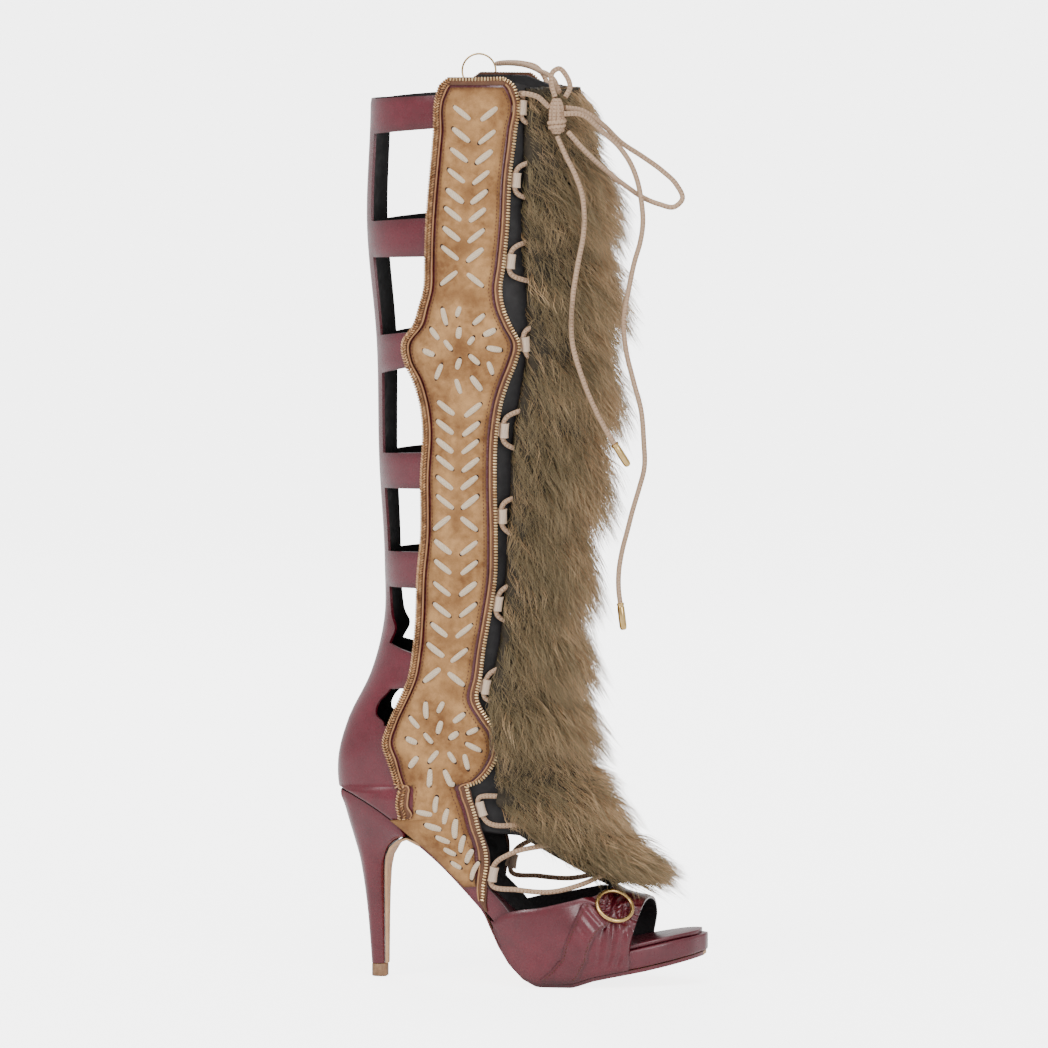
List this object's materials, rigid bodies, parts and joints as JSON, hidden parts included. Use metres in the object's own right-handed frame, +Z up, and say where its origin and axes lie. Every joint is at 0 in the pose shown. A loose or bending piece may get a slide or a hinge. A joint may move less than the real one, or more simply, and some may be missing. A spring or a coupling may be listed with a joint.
{
  "type": "knee-high sandal",
  "caption": "Right knee-high stiletto sandal: strapped leather back, laced side panels, fur tongue, open toe, metal rings.",
  "frame": {"origin": "on the floor under the middle of the heel tip", "axes": "+X to the toe, +Y to the inner side of the leg, +Z up along the shaft"},
  "size_m": [0.231, 0.1204, 0.574],
  "materials": {
    "burgundy_leather": "glossy smooth",
    "tan_suede": "matt suede",
    "brass": "polished",
    "black_lining": "matt",
    "brown_fur": "long pile",
    "beige_lace": "satin",
    "tan_sole": "satin"
  },
  "bodies": {
    "shoe": {"aglet_long": "brass", "aglet_short": "brass", "fur": "brown_fur", "heel": "burgundy_leather", "heel_tip": "tan_sole", "insole": "burgundy_leather", "keeper_lateral_01": "beige_lace", "keeper_lateral_02": "beige_lace", "keeper_lateral_03": "beige_lace", "keeper_lateral_04": "beige_lace", "keeper_lateral_05": "beige_lace", "keeper_lateral_06": "beige_lace", "keeper_lateral_07": "beige_lace", "keeper_lateral_08": "beige_lace", "keeper_lateral_09": "beige_lace", "keeper_lateral_10": "beige_lace", "keeper_lateral_11": "beige_lace", "keeper_medial_01": "beige_lace", "keeper_medial_02": "beige_lace", "keeper_medial_03": "beige_lace", "keeper_medial_04": "beige_lace", "keeper_medial_05": "beige_lace", "keeper_medial_06": "beige_lace", "keeper_medial_07": "beige_lace", "keeper_medial_08": "beige_lace", "keeper_medial_09": "beige_lace", "keeper_medial_10": "beige_lace", "keeper_medial_11": "beige_lace", "lace_crossings": "beige_lace", "lace_end_long": "beige_lace", "lace_end_short": "beige_lace", "lace_knot": "beige_lace", "lace_large_loop": "beige_lace", "lace_small_loop": "beige_lace", "outsole": "tan_sole", "panel_lateral": "tan_suede", "panel_medial": "tan_suede", "platform": "burgundy_leather", "tongue": "black_lining", "upper": "burgundy_leather", "vamp": "burgundy_leather", "vamp_ring": "brass", "vamp_strap": "burgundy_leather", "zip_slider": "brass", "zip_trim_lateral": "brass", "zip_trim_medial": "brass"},
    "pull": {"pull_ring": "brass"}
  },
  "joints": [
    {"name": "pull_swing", "type": "hinge", "parent": "shoe", "child": "pull", "pos_m": [0.0523, 0.0592, 0.5521], "axis": [-1, 0, 0], "range_deg": [-5, 165]}
  ]
}
